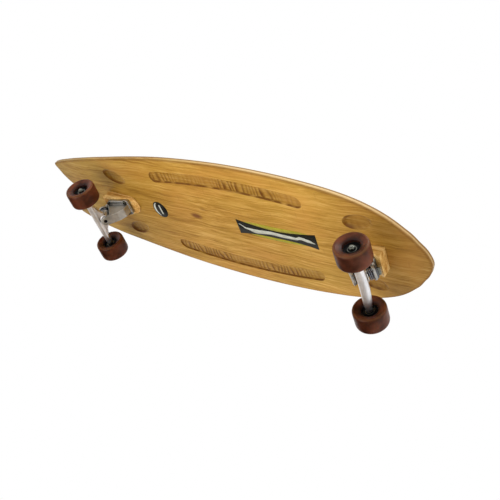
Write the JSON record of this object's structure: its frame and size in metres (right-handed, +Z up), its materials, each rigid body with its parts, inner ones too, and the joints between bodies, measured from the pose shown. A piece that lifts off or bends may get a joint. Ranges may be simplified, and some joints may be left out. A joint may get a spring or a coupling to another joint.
{
  "type": "surf-style longboard",
  "caption": "Swallow-tail bamboo longboard with two spring-centred carving trucks on wedge risers and wide urethane wheels.",
  "frame": {"origin": "on the ground, under the middle of the board's length and width", "axes": "+X to the nose, +Y to the rider's left when facing the nose, +Z up; the wheels stand on z = 0"},
  "size_m": [1.2324, 0.3978, 0.1593],
  "materials": {
    "bamboo": "satin varnish",
    "grip": "grit sheet",
    "riser_wood": "satin varnish",
    "cast_aluminium": "as cast, lightly blasted",
    "polished_aluminium": "polished",
    "steel": "zinc plated",
    "spring_steel": "bright drawn wire",
    "black_steel": "black oxide",
    "bronze": "plain sintered",
    "urethane": "glossy, slightly see-through",
    "black_plastic": "moulded"
  },
  "bodies": {
    "board": {"deck": "bamboo", "grip_sheet": "grip", "riser_front": "riser_wood", "truck_base_front": "cast_aluminium", "kingpin_front": "steel", "pivot_washer_front": "bronze", "centring_spring_front": "spring_steel", "deck_bolt_front_1": "black_steel", "deck_bolt_front_2": "black_steel", "deck_bolt_front_3": "black_steel", "deck_bolt_front_4": "black_steel", "deck_nut_front_1": "steel", "deck_nut_front_2": "steel", "deck_nut_front_3": "steel", "deck_nut_front_4": "steel", "riser_rear": "riser_wood", "truck_base_rear": "cast_aluminium", "kingpin_rear": "steel", "pivot_washer_rear": "bronze", "centring_spring_rear": "spring_steel", "deck_bolt_rear_1": "black_steel", "deck_bolt_rear_2": "black_steel", "deck_bolt_rear_3": "black_steel", "deck_bolt_rear_4": "black_steel", "deck_nut_rear_1": "steel", "deck_nut_rear_2": "steel", "deck_nut_rear_3": "steel", "deck_nut_rear_4": "steel"},
    "front_truck": {"hanger_front": "polished_aluminium", "axle_front": "steel", "spring_seat_front": "steel", "axle_nut_front_left": "steel", "axle_nut_front_right": "steel"},
    "rear_truck": {"hanger_rear": "polished_aluminium", "axle_rear": "steel", "spring_seat_rear": "steel", "axle_nut_rear_left": "steel", "axle_nut_rear_right": "steel"},
    "front_left_wheel": {"tyre_front_left": "urethane", "wheel_core_front_left": "black_plastic", "bearing_inner_front_left": "steel", "bearing_outer_front_left": "steel", "bearing_spacer_front_left": "steel"},
    "front_right_wheel": {"tyre_front_right": "urethane", "wheel_core_front_right": "black_plastic", "bearing_inner_front_right": "steel", "bearing_outer_front_right": "steel", "bearing_spacer_front_right": "steel"},
    "rear_left_wheel": {"tyre_rear_left": "urethane", "wheel_core_rear_left": "black_plastic", "bearing_inner_rear_left": "steel", "bearing_outer_rear_left": "steel", "bearing_spacer_rear_left": "steel"},
    "rear_right_wheel": {"tyre_rear_right": "urethane", "wheel_core_rear_right": "black_plastic", "bearing_inner_rear_right": "steel", "bearing_outer_rear_right": "steel", "bearing_spacer_rear_right": "steel"}
  },
  "joints": [
    {"name": "front_steer", "type": "hinge", "parent": "board", "child": "front_truck", "pos_m": [0.463, 0, 0.046], "axis": [0.7071, 0, 0.7071], "range_deg": [-30, 30], "stiffness_Nm_per_rad": 15},
    {"name": "rear_steer", "type": "hinge", "parent": "board", "child": "rear_truck", "pos_m": [-0.3534, 0, 0.046], "axis": [-0.7071, 0, 0.7071], "range_deg": [-30, 30], "stiffness_Nm_per_rad": 15},
    {"name": "front_left_wheel_spin", "type": "hinge", "parent": "front_truck", "child": "front_left_wheel", "pos_m": [0.491, 0.1019, 0.0413], "axis": [0, 1, 0], "continuous": true},
    {"name": "front_right_wheel_spin", "type": "hinge", "parent": "front_truck", "child": "front_right_wheel", "pos_m": [0.491, -0.1019, 0.0413], "axis": [0, 1, 0], "continuous": true},
    {"name": "rear_left_wheel_spin", "type": "hinge", "parent": "rear_truck", "child": "rear_left_wheel", "pos_m": [-0.3814, 0.1019, 0.0413], "axis": [0, 1, 0], "continuous": true},
    {"name": "rear_right_wheel_spin", "type": "hinge", "parent": "rear_truck", "child": "rear_right_wheel", "pos_m": [-0.3814, -0.1019, 0.0413], "axis": [0, 1, 0], "continuous": true}
  ]
}
